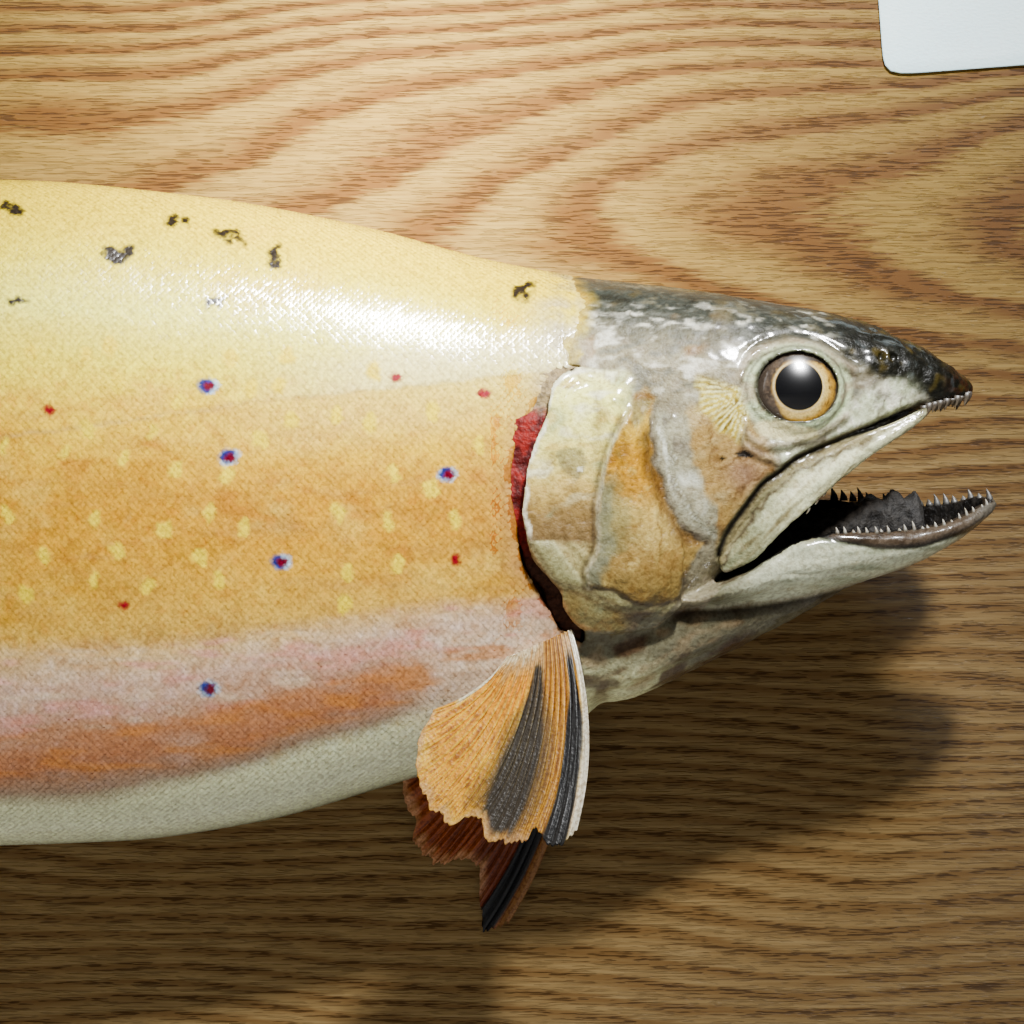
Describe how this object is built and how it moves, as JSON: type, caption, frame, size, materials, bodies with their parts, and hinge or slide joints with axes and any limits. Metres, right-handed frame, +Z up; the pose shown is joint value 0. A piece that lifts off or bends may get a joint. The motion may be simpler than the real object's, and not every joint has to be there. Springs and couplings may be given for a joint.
{
  "type": "mounted brook trout",
  "caption": "Life-size skin mount of a deep-bodied brook trout with an open mouth, its left side seated on an oak wall board.",
  "frame": {"origin": "centre of the board's flat back face, where it lies against the wall", "axes": "+Y out of the back into the wall, +X along the board toward the fish's head, +Z up"},
  "size_m": [0.7, 0.1072, 0.3],
  "materials": {
    "oak": "satin varnish over open pores",
    "label_paper": "matte coated paper",
    "screw_steel": "satin zinc",
    "head_skin": "varnished dried skin",
    "jaw_skin": "varnished dried skin",
    "pearl_skin": "varnished dried skin",
    "flank_skin": "varnished painted skin",
    "mouth": "varnished, wet look",
    "gill": "painted, glossy",
    "eye_glass": "polished glass",
    "fin": "varnished membrane"
  },
  "bodies": {
    "root": {"board": "oak", "label_blank": "label_paper", "mount_screw_1": "screw_steel", "mount_screw_2": "screw_steel", "head": "head_skin", "lower_jaw": "jaw_skin", "tongue": "mouth", "throat": "jaw_skin", "maxilla_right": "jaw_skin", "maxilla_left": "jaw_skin", "gill_cover_right": "pearl_skin", "gill_cover_left": "pearl_skin", "gills_right": "gill", "gills_left": "gill", "eye_right": "eye_glass", "eye_left": "eye_glass", "trunk_front": "flank_skin", "trunk_rear": "flank_skin", "tail_stem": "flank_skin", "dorsal_fin": "fin", "adipose_fin": "fin", "caudal_fin": "fin", "anal_fin": "fin", "pelvic_fin_right": "fin", "pelvic_fin_left": "fin", "pectoral_fin_right": "fin", "pectoral_fin_left": "fin"}
  },
  "joints": []
}
